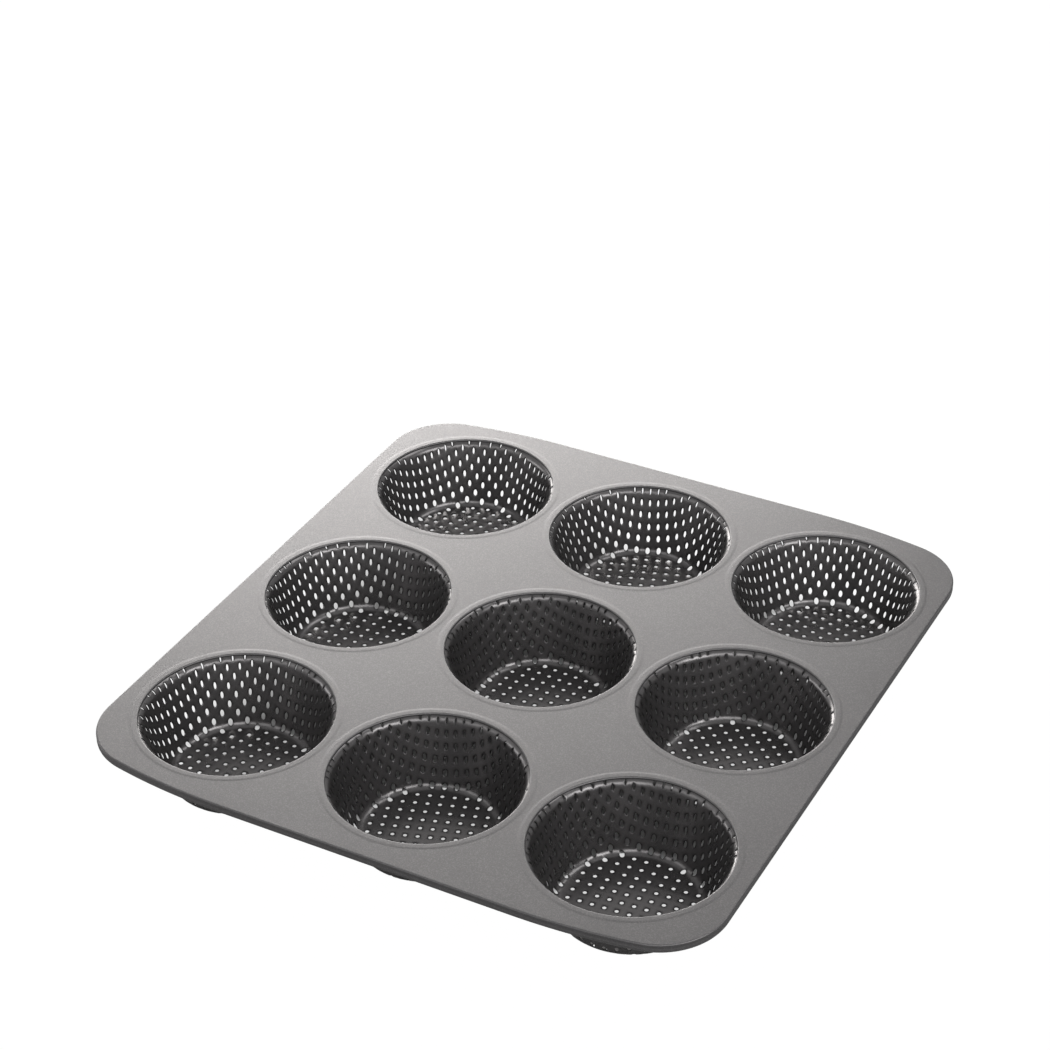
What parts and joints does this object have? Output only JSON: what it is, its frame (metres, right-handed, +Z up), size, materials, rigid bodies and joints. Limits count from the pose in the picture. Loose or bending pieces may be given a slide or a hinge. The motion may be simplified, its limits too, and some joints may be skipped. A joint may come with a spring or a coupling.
{
  "type": "perforated roll tin",
  "caption": "Flat coated steel baking tray with a grid of round, tapered, perforated cups for bread rolls and a wired, curled edge.",
  "frame": {"origin": "under the middle of the tin, on the surface that the cups stand on", "axes": "+Z up, X across the tray, +Y along the tray from the front edge to the back edge"},
  "size_m": [0.345, 0.368, 0.0374],
  "materials": {
    "tray_coating": "satin grey non-stick coating with a fine metallic speckle",
    "cup_coating": "satin charcoal non-stick coating",
    "wire_steel": "plain drawn steel wire"
  },
  "bodies": {
    "root": {"tray_sheet": "tray_coating", "rim_wire": "wire_steel", "cup_front_left": "cup_coating", "cup_front_middle": "cup_coating", "cup_front_right": "cup_coating", "cup_centre_left": "cup_coating", "cup_centre_middle": "cup_coating", "cup_centre_right": "cup_coating", "cup_back_left": "cup_coating", "cup_back_middle": "cup_coating", "cup_back_right": "cup_coating"}
  },
  "joints": []
}
